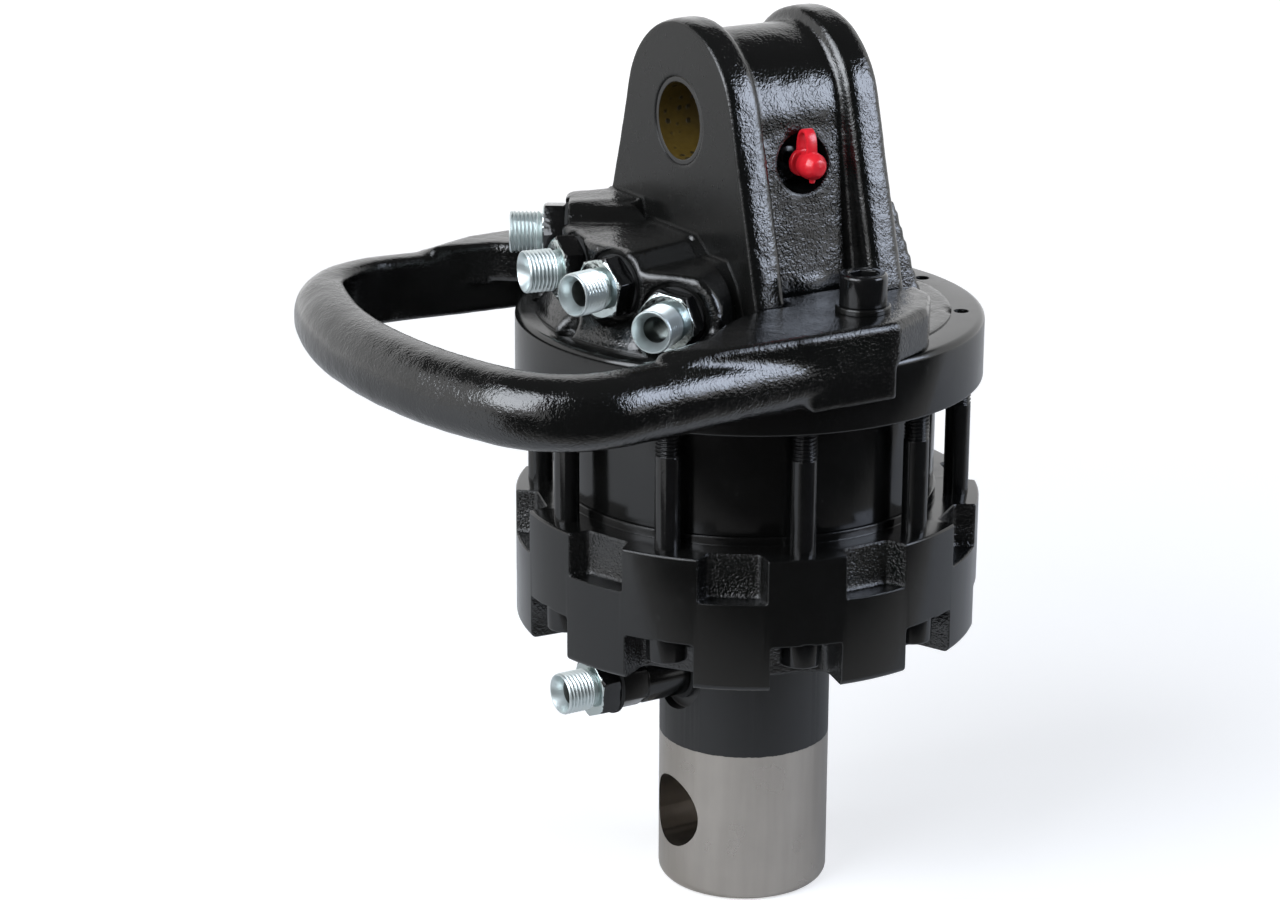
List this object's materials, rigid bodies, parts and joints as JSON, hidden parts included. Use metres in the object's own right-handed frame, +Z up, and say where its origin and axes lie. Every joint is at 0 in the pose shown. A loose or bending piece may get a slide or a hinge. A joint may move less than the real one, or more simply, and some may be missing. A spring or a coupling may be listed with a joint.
{
  "type": "hydraulic rotator",
  "caption": "Shaft type hydraulic rotator: cast head with pin ears, hose guard, swivel ports, vane motor in a castellated housing, and an output shaft with a cross pin hole.",
  "frame": {"origin": "centre of the upper link pin bore, midway between the ears", "axes": "+Z up along the shaft's axis, +Y along the link pin away from the hose ports, hoses arrive from -Y"},
  "size_m": [0.213, 0.268, 0.357],
  "materials": {
    "gloss_black_casting": "gloss black paint over a rough casting",
    "satin_black_steel": "satin black paint over machined steel",
    "black_screw": "black oxide and overspray",
    "zinc_plate": "bright blue zinc plate",
    "bare_steel": "turned and ground",
    "brass_cage": "machined",
    "composite_bush": "dimpled bearing lining",
    "red_plastic": "moulded, glossy",
    "seal_rubber": "moulded rubber"
  },
  "bodies": {
    "housing": {"head_casting": "gloss_black_casting", "hose_guard": "gloss_black_casting", "stator_ring": "satin_black_steel", "lower_housing": "satin_black_steel", "guard_washers": "satin_black_steel", "guard_screws": "black_screw", "housing_screws": "black_screw", "port_adapter_1": "zinc_plate", "port_adapter_2": "zinc_plate", "port_adapter_3": "zinc_plate", "port_adapter_4": "zinc_plate", "grease_nipple": "bare_steel", "dowel_pins": "bare_steel", "seal_circlip": "bare_steel", "thrust_washer_lower": "bare_steel", "link_bush_front": "composite_bush", "link_bush_rear": "composite_bush", "upper_bush": "composite_bush", "lower_bush": "composite_bush", "grease_cap": "red_plastic", "port_seals": "seal_rubber", "stator_seals": "seal_rubber", "swivel_seals": "seal_rubber", "shaft_seal": "seal_rubber", "wiper_ring": "seal_rubber"},
    "rotor": {"output_shaft": "bare_steel", "passage_plugs": "bare_steel", "vanes": "bare_steel", "vane_springs": "bare_steel", "thrust_washer_upper": "bare_steel", "port_extension_front": "satin_black_steel", "port_extension_rear": "satin_black_steel", "shaft_adapter_front": "zinc_plate", "shaft_adapter_rear": "zinc_plate", "shaft_port_seals": "seal_rubber"},
    "cage": {"roller_cage": "brass_cage", "thrust_rollers": "bare_steel"}
  },
  "joints": [
    {"name": "shaft_rotation", "type": "hinge", "parent": "housing", "child": "rotor", "pos_m": [0, 0, 0], "axis": [0, 0, 1], "continuous": true},
    {"name": "cage_rotation", "type": "hinge", "parent": "housing", "child": "cage", "pos_m": [0, 0, 0], "axis": [0, 0, 1], "continuous": true}
  ],
  "couplings": [
    {"joint": "cage_rotation", "follows": "shaft_rotation", "ratio": 0.5}
  ]
}
